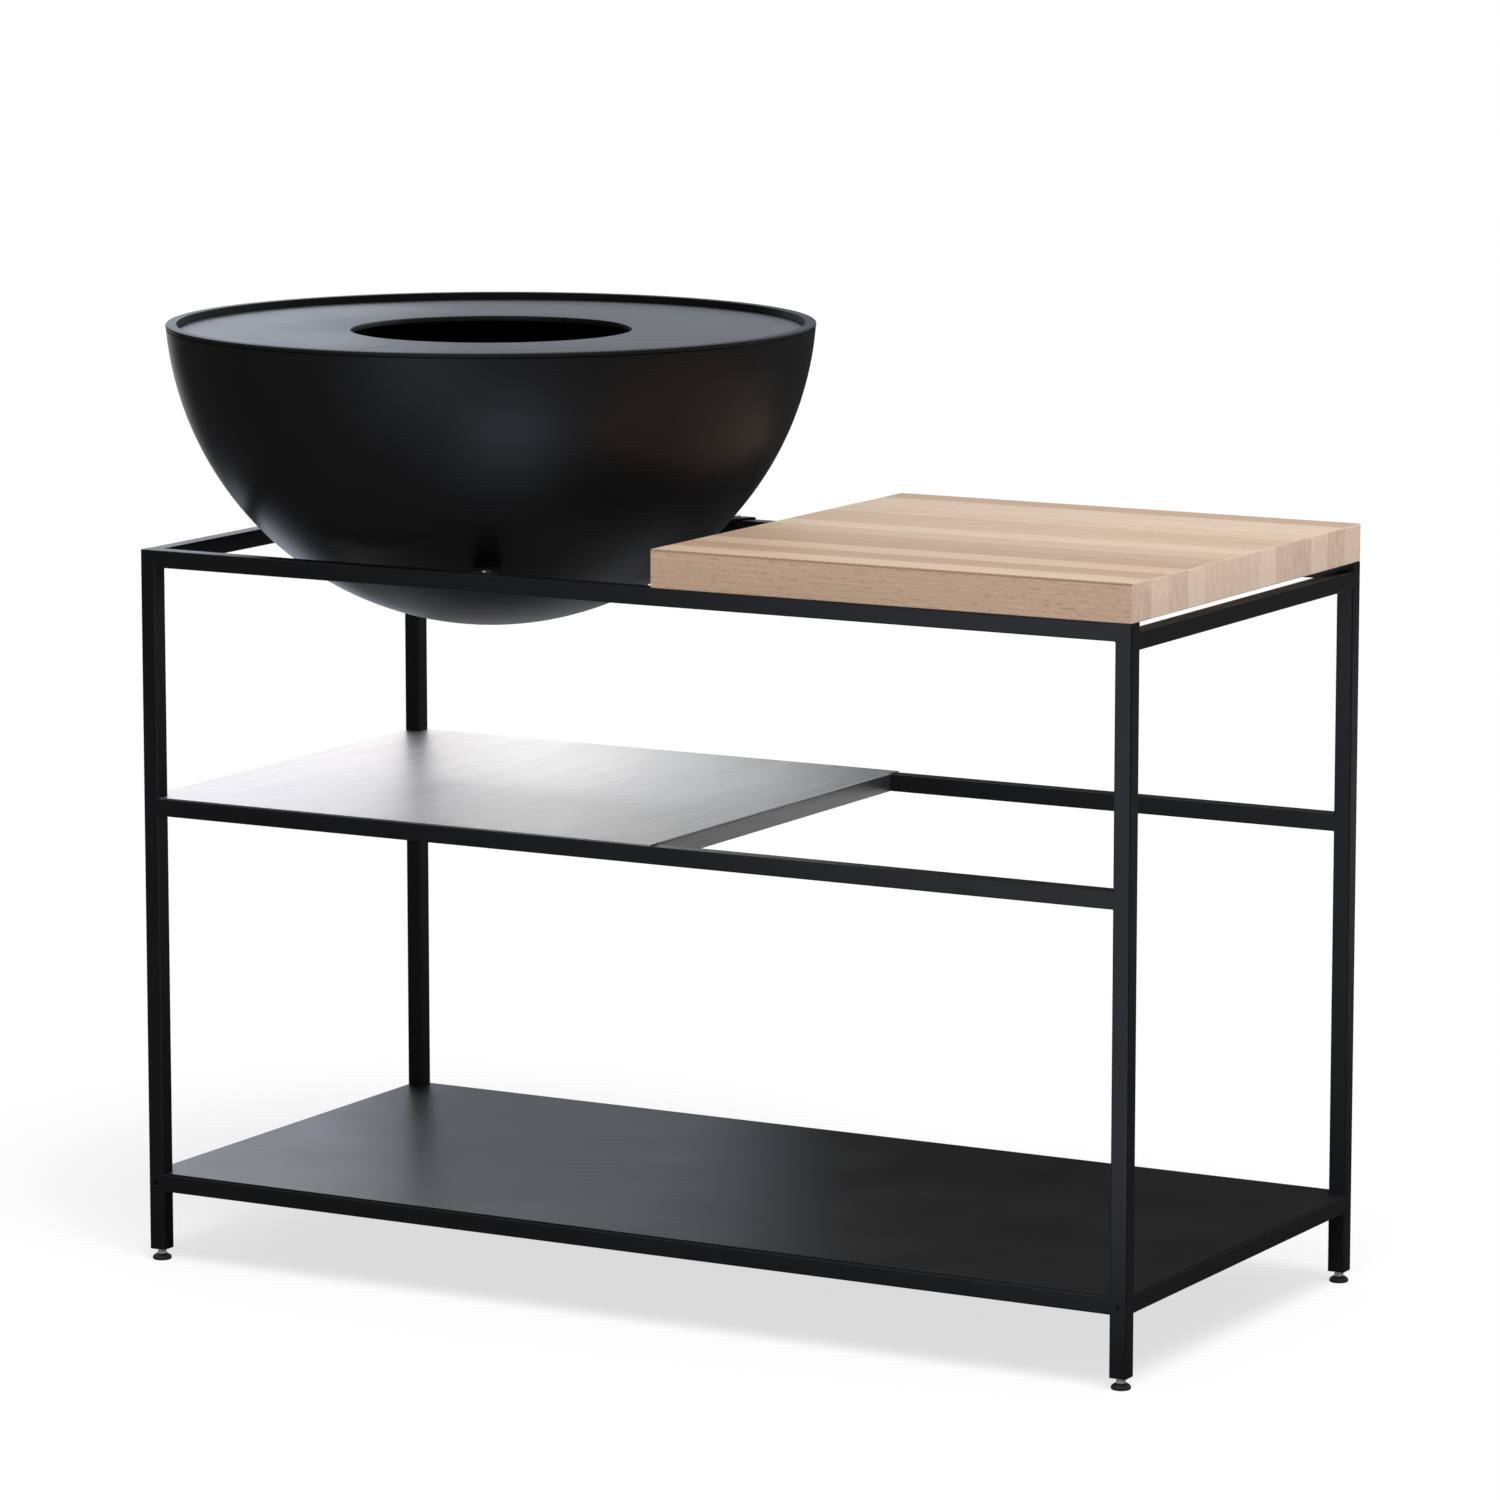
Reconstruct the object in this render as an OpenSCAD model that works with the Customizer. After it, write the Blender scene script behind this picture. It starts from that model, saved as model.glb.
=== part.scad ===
// Fire bowl cooking station: square-tube table with a recessed ring plate bowl,
// a sliding wooden board, a sliding steel shelf and a full-width bottom shelf.
// Millimetres. +X is the long way to the right, -Y is the front, +Z is up.
// The floor is z = 0; x = 0, y = 0 is the middle of the whole outline.

/* [Frame] */
frame_length = 1200;
frame_depth = 557;
frame_top = 792;
tube = 19;
tube_wall = 1.5;
tube_corner = 1.6;
mid_rail_top = 518;
bottom_rail_top = 97.5;
right_rail_drop = 9.5;

/* [Feet] */
leg_bottom = 12.5;
pad_radius = 10.4;
stud_radius = 3.95;
insert_height = 20;

/* [Bowl] */
bowl_x = -321;
bowl_sphere_radius = 357.7;
bowl_sphere_z = 1055;
bowl_wall = 3;
bowl_base_z = 699;
bowl_edge_z = 1025;
rim_top = 1030.5;
rim_radius = 357;
rim_lip_width = 12;
lug_thick = 2.5;
lug_width = 30;

/* [Ring plate] */
plate_top = 1022.3;
plate_thick = 6;
plate_outer_radius = 343.6;
plate_hole_radius = 154.5;
plate_split_gap = 1;

/* [Board] */
board_left = 41;
board_thick = 41;
board_ease = 1.6;
strip_thick = 8;
strip_width = 20;

/* [Shelves] */
shelf_right = 40;
shelf_sheet = 1.5;
shelf_lip = 18.5;
panel_sheet = 2;
panel_lip = 14;

/* [Render] */
$fn = 96;

hl = frame_length / 2;
hd = frame_depth / 2;
ht = tube / 2;
inner = tube - 2 * tube_wall;

// the bowl overhangs the table on the left, so the table stands off centre
shift_x = -(bowl_x - rim_radius + hl - ht + pad_radius) / 2;

black = [0.09, 0.09, 0.10];
zinc = [0.75, 0.76, 0.78];
steel = [0.62, 0.63, 0.65];
beech = [0.80, 0.64, 0.48];

// ---------------------------------------------------------------- helpers

module place() { translate([shift_x, 0, 0]) children(); }

module section(s, r) {
    square([s - 2 * r, s], center = true);
    square([s, s - 2 * r], center = true);
    for (a = [-1, 1], b = [-1, 1])
        translate([a * (s / 2 - r), b * (s / 2 - r)]) circle(r = r);
}

module bar(len) { linear_extrude(height = len) section(tube, tube_corner); }

module tube_of(len) {
    linear_extrude(height = len) difference() {
        section(tube, tube_corner);
        square([inner, inner], center = true);
    }
}

// a leg's outside, for the rails' ends to be cut to
module leg_outside(sx, sy) {
    translate([sx * (hl - ht), sy * (hd - ht), leg_bottom]) bar(frame_top - leg_bottom);
}

module legs_outside() {
    for (sx = [-1, 1], sy = [-1, 1]) leg_outside(sx, sy);
}

// rail along X: centre line at y, top face at ztop
module rail_x(y, ztop) {
    e = hl - tube + tube_corner;
    difference() {
        translate([-e, y, ztop - ht]) rotate([0, 90, 0]) tube_of(2 * e);
        legs_outside();
    }
}

// rail along Y: centre line at x, top face at ztop
module rail_y(x, ztop) {
    e = hd - tube + tube_corner;
    difference() {
        translate([x, e, ztop - ht]) rotate([90, 0, 0]) tube_of(2 * e);
        legs_outside();
    }
}

screw_z = bottom_rail_top - ht;

module leg(sx, sy) {
    difference() {
        leg_outside(sx, sy);
        translate([sx * (hl - ht) - inner / 2, sy * (hd - ht) - inner / 2, leg_bottom - 1])
            cube([inner, inner, frame_top - leg_bottom + 1 - tube_wall]);
        // screw into the side rail's end
        translate([sx * (hl - ht), sy * (hd + 1), screw_z])
            rotate([sy * 90, 0, 0]) cylinder(r = 3.1, h = tube + 3);
    }
}

// ------------------------------------------------------------------ frame

module leg_front_left() { color(black) place() leg(-1, -1); }
module leg_front_right() { color(black) place() leg(1, -1); }
module leg_back_left() { color(black) place() leg(-1, 1); }
module leg_back_right() { color(black) place() leg(1, 1); }

pin_y = hd - ht;
pin_dx = pin_y / tan(60);

module top_rail_front() {
    color(black) place() difference() {
        rail_x(-(hd - ht), frame_top);
        translate([bowl_x + pin_dx, -pin_y, frame_top - 4]) cylinder(r = 3.5, h = 6);
    }
}

module top_rail_back() {
    color(black) place() difference() {
        rail_x(hd - ht, frame_top);
        translate([bowl_x + pin_dx, pin_y, frame_top - 4]) cylinder(r = 3.5, h = 6);
    }
}

module top_rail_left() {
    color(black) place() difference() {
        rail_y(-(hl - ht), frame_top);
        translate([-(hl - ht), 0, frame_top - 4]) cylinder(r = 3.5, h = 6);
    }
}

module top_rail_right() { color(black) place() rail_y(hl - ht, frame_top - right_rail_drop); }
module mid_rail_front() { color(black) place() rail_x(-(hd - ht), mid_rail_top); }
module mid_rail_back() { color(black) place() rail_x(hd - ht, mid_rail_top); }
module bottom_rail_front() { color(black) place() rail_x(-(hd - ht), bottom_rail_top); }
module bottom_rail_back() { color(black) place() rail_x(hd - ht, bottom_rail_top); }
module bottom_rail_left() { color(black) place() rail_y(-(hl - ht), bottom_rail_top); }
module bottom_rail_right() { color(black) place() rail_y(hl - ht, bottom_rail_top); }

// threaded blocks inside the ends of the bottom side rails
module rail_end_plugs() {
    color(zinc) place() for (sx = [-1, 1], sy = [-1, 1])
        translate([sx * (hl - ht), sy * (hd - tube - 10), screw_z]) difference() {
            cube([inner, 20, inner], center = true);
            rotate([90, 0, 0]) cylinder(r = 2.5, h = 30, center = true);
        }
}

// socket screws through the legs into the side rails' plugs
module frame_screws() {
    color(black) place() for (sx = [-1, 1], sy = [-1, 1])
        translate([sx * (hl - ht), sy * (hd - 0.4), screw_z]) rotate([sy * 90, 0, 0])
            difference() {
                union() {
                    cylinder(r = 3, h = 6);
                    cylinder(r = 2.5, h = tube + 16);
                }
                translate([0, 0, -1]) cylinder(r = 1.6, h = 4, $fn = 6);
            }
}

// threaded blocks pressed into the bottoms of the legs
module leg_inserts() {
    color(black) place() for (sx = [-1, 1], sy = [-1, 1])
        translate([sx * (hl - ht), sy * (hd - ht), leg_bottom + insert_height / 2])
            difference() {
                cube([inner, inner, insert_height], center = true);
                cylinder(r = 4, h = insert_height + 2, center = true);
            }
}

module bottom_shelf() {
    lx = hl - 1;
    ly = hd - 1;
    fx = hl - tube - 1;
    fy = hd - tube - 1;
    color(black) place() union() {
        difference() {
            translate([-lx, -ly, bottom_rail_top]) cube([2 * lx, 2 * ly, panel_sheet]);
            for (sx = [-1, 1], sy = [-1, 1])
                translate([sx * hl, sy * hd, bottom_rail_top])
                    cube([2 * (tube + 0.5), 2 * (tube + 0.5), 10], center = true);
        }
        difference() {
            translate([-fx, -fy, bottom_rail_top - panel_lip]) cube([2 * fx, 2 * fy, panel_lip + 1]);
            translate([-fx + panel_sheet, -fy + panel_sheet, bottom_rail_top - panel_lip - 1])
                cube([2 * (fx - panel_sheet), 2 * (fy - panel_sheet), panel_lip + 1]);
        }
    }
}

// ------------------------------------------------------------------- feet

module stud(sx, sy) {
    translate([sx * (hl - ht), sy * (hd - ht), 0]) {
        translate([0, 0, 2.6]) cylinder(r = 3.2, h = 4.4);
        translate([0, 0, 6.6]) cylinder(r = 5.6, h = 2.8, $fn = 6);
        translate([0, 0, 9]) cylinder(r = stud_radius, h = 42);
        translate([0, 0, 51]) cylinder(r1 = stud_radius, r2 = 3.1, h = 1);
    }
}

module pad(sx, sy) {
    translate([sx * (hl - ht), sy * (hd - ht), 0]) rotate_extrude() difference() {
        polygon([[0, 0], [pad_radius - 0.9, 0], [pad_radius, 0.9], [pad_radius, 3],
            [pad_radius - 1.2, 4.6], [6.8, 6.1], [6.0, 6.6], [0, 6.6]]);
        translate([-1, 2.5]) square([4.25, 6]);
    }
}

module stud_front_left() { color(zinc) place() stud(-1, -1); }
module stud_front_right() { color(zinc) place() stud(1, -1); }
module stud_back_left() { color(zinc) place() stud(-1, 1); }
module stud_back_right() { color(zinc) place() stud(1, 1); }
module pad_front_left() { color(black) place() pad(-1, -1); }
module pad_front_right() { color(black) place() pad(1, -1); }
module pad_back_left() { color(black) place() pad(-1, 1); }
module pad_back_right() { color(black) place() pad(1, 1); }

// ------------------------------------------------------------ steel shelf

module steel_shelf() {
    ly = hd - 1;
    fy = hd - tube - 1;
    x0 = -hl + 1;
    xl = -hl + tube + 2;
    s = shelf_sheet;
    color(steel) place() union() {
        difference() {
            translate([x0, -ly, mid_rail_top]) cube([shelf_right - x0, 2 * ly, s]);
            for (sy = [-1, 1])
                translate([-hl, sy * hd, mid_rail_top])
                    cube([2 * (tube + 1), 2 * (tube + 1), 10], center = true);
            // fold relief at the two right corners
            for (sy = [-1, 1])
                translate([shelf_right, sy * (fy + 1.6), mid_rail_top])
                    cube([6, 3.2, 10], center = true);
        }
        difference() {
            translate([xl, -fy, mid_rail_top - shelf_lip]) cube([shelf_right - xl, 2 * fy, shelf_lip + s / 2]);
            translate([xl + s, -fy + s, mid_rail_top - shelf_lip - 1])
                cube([shelf_right - xl - 2 * s, 2 * (fy - s), shelf_lip + 1]);
        }
    }
}

// ------------------------------------------------------------------ board

module board() {
    e = board_ease;
    len = hl - board_left;
    color(beech) place() intersection() {
        translate([board_left, 0, frame_top]) rotate([90, 0, 90]) linear_extrude(height = len)
            polygon([[-hd + e, 0], [hd - e, 0], [hd, e], [hd, board_thick - e], [hd - e, board_thick],
                [-hd + e, board_thick], [-hd, board_thick - e], [-hd, e]]);
        translate([0, hd, frame_top]) rotate([90, 0, 0]) linear_extrude(height = frame_depth)
            polygon([[board_left + e, 0], [hl - e, 0], [hl, e], [hl, board_thick - e],
                [hl - e, board_thick], [board_left + e, board_thick], [board_left, board_thick - e],
                [board_left, e]]);
        difference() {
            translate([board_left - 1, -hd - 1, frame_top - 1])
                cube([len + 2, frame_depth + 2, board_thick + 2]);
            for (x = strip_screw_x, sy = [-1, 1])
                translate([x, sy * strip_y, frame_top - 2]) cylinder(r = 1.75, h = 20);
        }
    }
}

strip_y = hd - tube - 0.8 - strip_width / 2;
strip_screw_x = [85, 320, 550];

module board_strips() {
    color(black) place() for (sy = [-1, 1]) difference() {
        translate([board_left + 20, sy * strip_y - strip_width / 2, frame_top - strip_thick])
            cube([hl - board_left - 45, strip_width, strip_thick]);
        for (x = strip_screw_x) translate([x, sy * strip_y, frame_top - strip_thick - 1]) {
            cylinder(r = 1.75, h = strip_thick + 2);
            cylinder(r = 3.5, h = 4);
        }
    }
}

module strip_screws() {
    color(zinc) place() for (x = strip_screw_x, sy = [-1, 1])
        translate([x, sy * strip_y, frame_top - strip_thick + 0.4]) {
            cylinder(r = 3.4, h = 2.6);
            cylinder(r = 1.75, h = strip_thick + 16);
        }
}

// ------------------------------------------------------------------- bowl

module bowl_shell() {
    color(black) place() translate([bowl_x, 0, 0]) rotate_extrude($fn = 180) difference() {
        intersection() {
            translate([0, bowl_sphere_z]) circle(r = bowl_sphere_radius);
            translate([0, bowl_base_z]) square([400, bowl_edge_z - bowl_base_z]);
        }
        intersection() {
            translate([0, bowl_sphere_z]) circle(r = bowl_sphere_radius - bowl_wall);
            translate([-1, bowl_base_z + bowl_wall]) square([500, 500]);
        }
    }
}

module bowl_rim() {
    r1 = rim_radius;
    r0 = rim_radius - rim_lip_width;
    zt = rim_top;
    zb = bowl_edge_z + 1;
    e = 2;
    zl = plate_top - plate_thick;
    color(black) place() translate([bowl_x, 0, 0]) rotate_extrude($fn = 180) union() {
        translate([r0, zb]) square([r1 - e - r0, zt - zb]);
        translate([r1 - e - 1, zb + e]) square([e + 1, zt - zb - 2 * e]);
        translate([r1 - e, zt - e]) circle(r = e);
        translate([r1 - e, zb + e]) circle(r = e);
        translate([353.7, bowl_edge_z]) square([1.6, 2]);
        translate([r0, zl - 3]) square([3, zb - zl + 4]);
        translate([r0 - 15, zl - 3]) square([17, 3]);
    }
}

// carrier welded to the bowl, lying on a rail; a is its direction
module lug(a) {
    difference() {
        intersection() {
            translate([bowl_x, 0, 0]) rotate([0, 0, a]) union() {
                difference() {
                    // a hair above the rail, so that the two faces never cut into each other
                    translate([225, -lug_width / 2, frame_top + 0.02]) cube([110, lug_width, lug_thick - 0.02]);
                    translate([pin_y / sin(60), 0, frame_top - 1]) cylinder(r = 3, h = 6);
                }
                translate([0, 2.5, 0]) rotate([90, 0, 0]) linear_extrude(height = 5)
                    polygon([[205, frame_top - 26], [222, frame_top - 26],
                        [a == 180 ? 250 : 285, frame_top - 6], [a == 180 ? 250 : 285, frame_top + 0.5],
                        [225, frame_top + 0.5]]);
            }
            translate([-hl + 1, -hd + 1, frame_top - 40]) cube([frame_length, frame_depth - 2, 60]);
        }
        translate([bowl_x, 0, bowl_sphere_z]) sphere(r = bowl_sphere_radius, $fn = 180);
        if (a == 180)
            translate([-(hl - ht), 0, frame_top - 1]) cylinder(r = 3, h = 6);
    }
}

module bowl_lug_left() { color(black) place() lug(180); }
module bowl_lug_front() { color(black) place() lug(-60); }
module bowl_lug_back() { color(black) place() lug(60); }

module pin() {
    translate([0, 0, frame_top - 6]) cylinder(r = 3, h = 6 + lug_thick + 1);
    translate([0, 0, frame_top - 6 - 1.5]) cylinder(r1 = 1.8, r2 = 3, h = 1.5);
    translate([0, 0, frame_top + lug_thick]) cylinder(r = 6.2, h = 1.4);
    translate([0, 0, frame_top + lug_thick + 1.4]) cylinder(r1 = 6.2, r2 = 4.2, h = 1.1);
}

module lug_pins() {
    color(steel) place() {
        translate([-(hl - ht), 0, 0]) pin();
        for (sy = [-1, 1]) translate([bowl_x + pin_dx, sy * pin_y, 0]) pin();
    }
}

// -------------------------------------------------------------- ring plate

module plate_half(side) {
    c = 1;
    zt = plate_top;
    zb = plate_top - plate_thick;
    ro = plate_outer_radius;
    ri = plate_hole_radius;
    intersection() {
        translate([bowl_x, 0, 0]) rotate_extrude($fn = 180)
            polygon([[ri, zb], [ro, zb], [ro, zt - c], [ro - c, zt], [ri + c, zt], [ri, zt - c]]);
        translate([bowl_x + (side < 0 ? -500 : plate_split_gap / 2), -500, zb - 5])
            cube([500 - plate_split_gap / 2, 1000, 30]);
    }
}

module plate_half_left() { color(steel) place() plate_half(-1); }
module plate_half_right() { color(steel) place() plate_half(1); }

// ------------------------------------------------------------------ output

leg_front_left();
leg_front_right();
leg_back_left();
leg_back_right();
top_rail_front();
top_rail_back();
top_rail_left();
top_rail_right();
mid_rail_front();
mid_rail_back();
bottom_rail_front();
bottom_rail_back();
bottom_rail_left();
bottom_rail_right();
rail_end_plugs();
frame_screws();
leg_inserts();
bottom_shelf();
stud_front_left();
stud_front_right();
stud_back_left();
stud_back_right();
pad_front_left();
pad_front_right();
pad_back_left();
pad_back_right();
steel_shelf();
board();
board_strips();
strip_screws();
bowl_shell();
bowl_rim();
bowl_lug_left();
bowl_lug_front();
bowl_lug_back();
lug_pins();
plate_half_left();
plate_half_right();
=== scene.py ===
"""Looks for the fire bowl cooking station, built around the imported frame.

Everything is in metres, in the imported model's frame: +X to the right, -Y to the front, +Z up,
and the floor at z = 0.
"""

import math

import bmesh
import bpy
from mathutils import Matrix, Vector


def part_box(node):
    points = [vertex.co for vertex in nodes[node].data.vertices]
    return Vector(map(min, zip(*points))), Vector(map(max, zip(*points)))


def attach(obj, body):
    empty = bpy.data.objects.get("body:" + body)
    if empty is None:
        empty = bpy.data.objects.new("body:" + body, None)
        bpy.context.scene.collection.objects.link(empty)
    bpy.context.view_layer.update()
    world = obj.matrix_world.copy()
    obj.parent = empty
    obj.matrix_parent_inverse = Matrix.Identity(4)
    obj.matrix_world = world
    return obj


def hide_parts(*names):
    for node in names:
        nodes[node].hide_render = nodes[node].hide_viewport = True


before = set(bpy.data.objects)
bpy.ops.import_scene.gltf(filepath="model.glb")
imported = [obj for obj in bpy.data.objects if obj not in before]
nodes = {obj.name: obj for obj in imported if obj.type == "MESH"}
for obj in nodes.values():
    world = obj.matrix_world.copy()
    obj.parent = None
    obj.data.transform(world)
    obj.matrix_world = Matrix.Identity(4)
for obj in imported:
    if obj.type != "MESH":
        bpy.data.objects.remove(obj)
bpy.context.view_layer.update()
scene = bpy.context.scene
TAU = 2 * math.pi
MM = 0.001


# ---------------------------------------------------------------- mesh tools


def mesh_piece(name, verts, faces, sharp=32):
    """A clean mesh object, smooth except at edges sharper than that many degrees."""
    me = bpy.data.meshes.new(name)
    me.from_pydata([tuple(v) for v in verts], [], faces)
    bm = bmesh.new()
    bm.from_mesh(me)
    bmesh.ops.remove_doubles(bm, verts=bm.verts, dist=2e-7)
    loose = [e for e in bm.edges if not e.link_faces]
    bmesh.ops.delete(bm, geom=loose, context="EDGES")
    bmesh.ops.recalc_face_normals(bm, faces=bm.faces)
    for f in bm.faces:
        f.smooth = True
    bm.to_mesh(me)
    bm.free()
    me.set_sharp_from_angle(angle=math.radians(sharp))
    ob = bpy.data.objects.new(name, me)
    scene.collection.objects.link(ob)
    return ob


def joined(parts):
    """Several (verts, faces) pairs as one pair."""
    verts, faces = [], []
    for v, f in parts:
        n = len(verts)
        verts += v
        faces += [tuple(i + n for i in face) for face in f]
    return verts, faces


def skin(rings, around):
    """The faces of a tube made of that many rings of points, its two ends closed."""
    faces = []
    for i in range(rings - 1):
        for k in range(around):
            a, b = i * around + k, i * around + (k + 1) % around
            faces.append((a, b, b + around, a + around))
    faces.append(tuple(range(around)))
    faces.append(tuple((rings - 1) * around + k for k in range(around)))
    return faces


def rounded(points, steps=5):
    """A closed run of (a, b, radius) corners as points, with an arc at each corner."""
    out, n = [], len(points)
    for i, (a, b, r) in enumerate(points):
        p = Vector((a, b))
        if r <= 0:
            out.append((a, b))
            continue
        u = (Vector(points[i - 1][:2]) - p).normalized()
        v = (Vector(points[(i + 1) % n][:2]) - p).normalized()
        half = u.angle(v) / 2
        reach = r / math.tan(half)
        centre = p + (u + v).normalized() * (r / math.sin(half))
        s, e = p + u * reach - centre, p + v * reach - centre
        turn = s.angle_signed(e)
        for k in range(steps + 1):
            t = -turn * k / steps
            c, w = math.cos(t), math.sin(t)
            out.append((centre.x + s.x * c - s.y * w, centre.y + s.x * w + s.y * c))
    return out


def lathe(loop, cx, cy, n=240):
    """A closed (r, z) loop turned all the way round a vertical line."""
    m, verts, faces = len(loop), [], []
    for i in range(n):
        c, s = math.cos(TAU * i / n), math.sin(TAU * i / n)
        verts += [(cx + r * c, cy + r * s, z) for r, z in loop]
    for i in range(n):
        for j in range(m):
            a, b = i * m + j, i * m + (j + 1) % m
            c, d = (i + 1) % n * m + (j + 1) % m, (i + 1) % n * m + j
            faces.append((a, b, c, d))
    return verts, faces


def half_ring(loop, cx, cy, side, gap, n=160):
    """The part of a turned loop on one side of x = cx, cut flat half a gap away from it."""
    verts = []
    for i in range(n + 1):
        for r, z in loop:
            end = math.pi / 2 - math.asin(gap / 2 / r)
            t = -end + 2 * end * i / n
            verts.append((cx + side * r * math.cos(t), cy + r * math.sin(t), z))
    return verts, skin(n + 1, len(loop))


def prism(low, high):
    """The solid between two outlines with the same number of points."""
    n = len(low)
    faces = [tuple(range(n)), tuple(range(n, 2 * n))]
    faces += [(i, (i + 1) % n, n + (i + 1) % n, n + i) for i in range(n)]
    return low + high, faces


def slab(outline, z0, z1):
    """An (x, y) outline raised from z0 to z1."""
    return prism([(x, y, z0) for x, y in outline], [(x, y, z1) for x, y in outline])


def block(lo, hi):
    return slab([(lo[0], lo[1]), (hi[0], lo[1]), (hi[0], hi[1]), (lo[0], hi[1])], lo[2], hi[2])


def strip_y(profile, y0, y1):
    """An (x, z) outline drawn out along Y."""
    return prism([(x, y0, z) for x, z in profile], [(x, y1, z) for x, z in profile])


def bead(p, q, radius, pitch=1.6 * MM, around=8):
    """A weld bead from p to q: a row of overlapping ripples, its ends closed."""
    p, q = Vector(p), Vector(q)
    axis = (q - p).normalized()
    side = axis.orthogonal().normalized()
    up = axis.cross(side)
    per_ripple = 4
    steps = max(4, int((q - p).length / pitch * per_ripple))
    verts = []
    for i in range(steps + 1):
        t = i / steps
        swell = 0.86 + 0.14 * abs(math.sin(math.pi * i / per_ripple))
        taper = min(1.0, 0.35 + 8 * min(t, 1 - t))
        c = p.lerp(q, t)
        for k in range(around):
            a = TAU * k / around
            verts.append(c + (side * math.cos(a) + up * math.sin(a)) * radius * swell * taper)
    return verts, skin(steps + 1, around)


def bevel(ob, width, over):
    """Rounds the object's edges that turn by more than that many degrees."""
    mod = ob.modifiers.new("edge", "BEVEL")
    mod.width, mod.segments = width, 2
    mod.limit_method, mod.angle_limit = "ANGLE", math.radians(over)


def dress(ob, material, body, slot, *stands_for):
    """Gives a piece its material and body, and hides the CAD nodes that it stands for; the slot is
    not used.
    """
    ob.data.materials.clear()
    ob.data.materials.append(material)
    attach(ob, body)
    if stands_for:
        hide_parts(*stands_for)


# ------------------------------------------------------------ material tools


class Nodes:
    """A node tree with small helpers."""

    def __init__(self, tree):
        self.t = tree

    def node(self, kind, **props):
        n = self.t.nodes.new(kind)
        for k, v in props.items():
            setattr(n, k, v)
        return n

    def link(self, a, b):
        self.t.links.new(a, b)

    def split(self, vector):
        n = self.node("ShaderNodeSeparateXYZ")
        self.link(vector, n.inputs[0])
        return n.outputs

    def maths(self, how, a, b=None):
        n = self.node("ShaderNodeMath", operation=how)
        for i, v in enumerate((a, b)):
            if v is None:
                continue
            if isinstance(v, (int, float)):
                n.inputs[i].default_value = v
            else:
                self.link(v, n.inputs[i])
        return n.outputs[0]

    def span(self, value, lo, hi, a, b, kind="LINEAR"):
        """Takes lo to a and hi to b, and stays there beyond them."""
        n = self.node("ShaderNodeMapRange", interpolation_type=kind)
        for key, v in zip(("From Min", "From Max", "To Min", "To Max"), (lo, hi, a, b)):
            n.inputs[key].default_value = v
        self.link(value, n.inputs["Value"])
        return n.outputs["Result"]


class Mat(Nodes):
    """A Principled material; co is the object's own coordinates, in metres."""

    def __init__(self, name, **values):
        self.m = bpy.data.materials.new(name)
        self.m.use_nodes = True
        super().__init__(self.m.node_tree)
        self.b = self.t.nodes["Principled BSDF"]
        for key, value in values.items():
            self.b.inputs[key.replace("_", " ")].default_value = value
        self.co = self.node("ShaderNodeTexCoord").outputs["Object"]

    def scaled(self, scale, source=None):
        n = self.node("ShaderNodeMapping")
        n.inputs["Scale"].default_value = scale
        self.link(source or self.co, n.inputs["Vector"])
        return n.outputs["Vector"]

    def noise(self, vector, scale, detail=3.0, rough=0.5, warp=0.0):
        n = self.node("ShaderNodeTexNoise")
        n.inputs["Scale"].default_value = scale
        n.inputs["Detail"].default_value = detail
        n.inputs["Roughness"].default_value = rough
        n.inputs["Distortion"].default_value = warp
        self.link(vector, n.inputs["Vector"])
        return n.outputs["Fac"]

    def ramp(self, value, *stops):
        n = self.node("ShaderNodeValToRGB")
        e = n.color_ramp.elements
        while len(e) < len(stops):
            e.new(0.5)
        for el, (at, col) in zip(e, stops):
            el.position = at
            el.color = (*col, 1)
        self.link(value, n.inputs["Fac"])
        return n.outputs["Color"]

    def blend_of(self, a, part_a, b, part_b):
        """a * part_a + b * part_b, for two patterns; a part of 1 costs no node."""
        first = a if part_a == 1 else self.maths("MULTIPLY", a, part_a)
        return self.maths("ADD", first, self.maths("MULTIPLY", b, part_b))

    def dice(self, number, seed):
        """One fixed random value from 0 to 1 for each whole number."""
        n = self.node("ShaderNodeTexWhiteNoise", noise_dimensions="1D")
        self.link(self.maths("ADD", number, seed), n.inputs["W"])
        return n.outputs["Value"]

    def mix(self, fac, a, b, how="MIX"):
        n = self.node("ShaderNodeMix", data_type="RGBA", blend_type=how)
        for socket, v in ((n.inputs[0], fac), (n.inputs[6], a), (n.inputs[7], b)):
            if isinstance(v, (int, float)):
                socket.default_value = v
            elif isinstance(v, tuple):
                socket.default_value = (*v, 1)
            else:
                self.link(v, socket)
        return n.outputs[2]

    def bump(self, height, strength, distance, under=None):
        n = self.node("ShaderNodeBump")
        n.inputs["Strength"].default_value = strength
        n.inputs["Distance"].default_value = distance
        self.link(height, n.inputs["Height"])
        if under:
            self.link(under, n.inputs["Normal"])
        return n.outputs["Normal"]

    def to(self, **sockets):
        for key, out in sockets.items():
            self.link(out, self.b.inputs[key.replace("_", " ")])
        return self.m


def grey(v, tint):
    return tuple(v * t for t in tint)


def powder_black(name, base, rough, spec):
    """Powder coat: nearly black, a fine orange peel and a little dust in the gloss."""
    m = Mat(name, Specular_IOR_Level=spec)
    cloud = m.noise(m.co, 9, 3)
    peel = m.noise(m.co, 620, 2, 0.45)
    grain = m.noise(m.co, 2600, 1)
    dark = grey(base * 0.86, (0.96, 1, 1.1))
    pale = grey(base * 1.15, (0.97, 1, 1.12))
    spread = 0.035
    return m.to(
        Base_Color=m.ramp(cloud, (0.3, dark), (0.7, pale)),
        Roughness=m.span(m.blend_of(cloud, 1, peel, 0.4), 0.4, 1.0, rough - spread, rough + spread),
        Normal=m.bump(grain, 0.03, 0.0001, m.bump(peel, 0.09, 0.0004)),
    )


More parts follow.
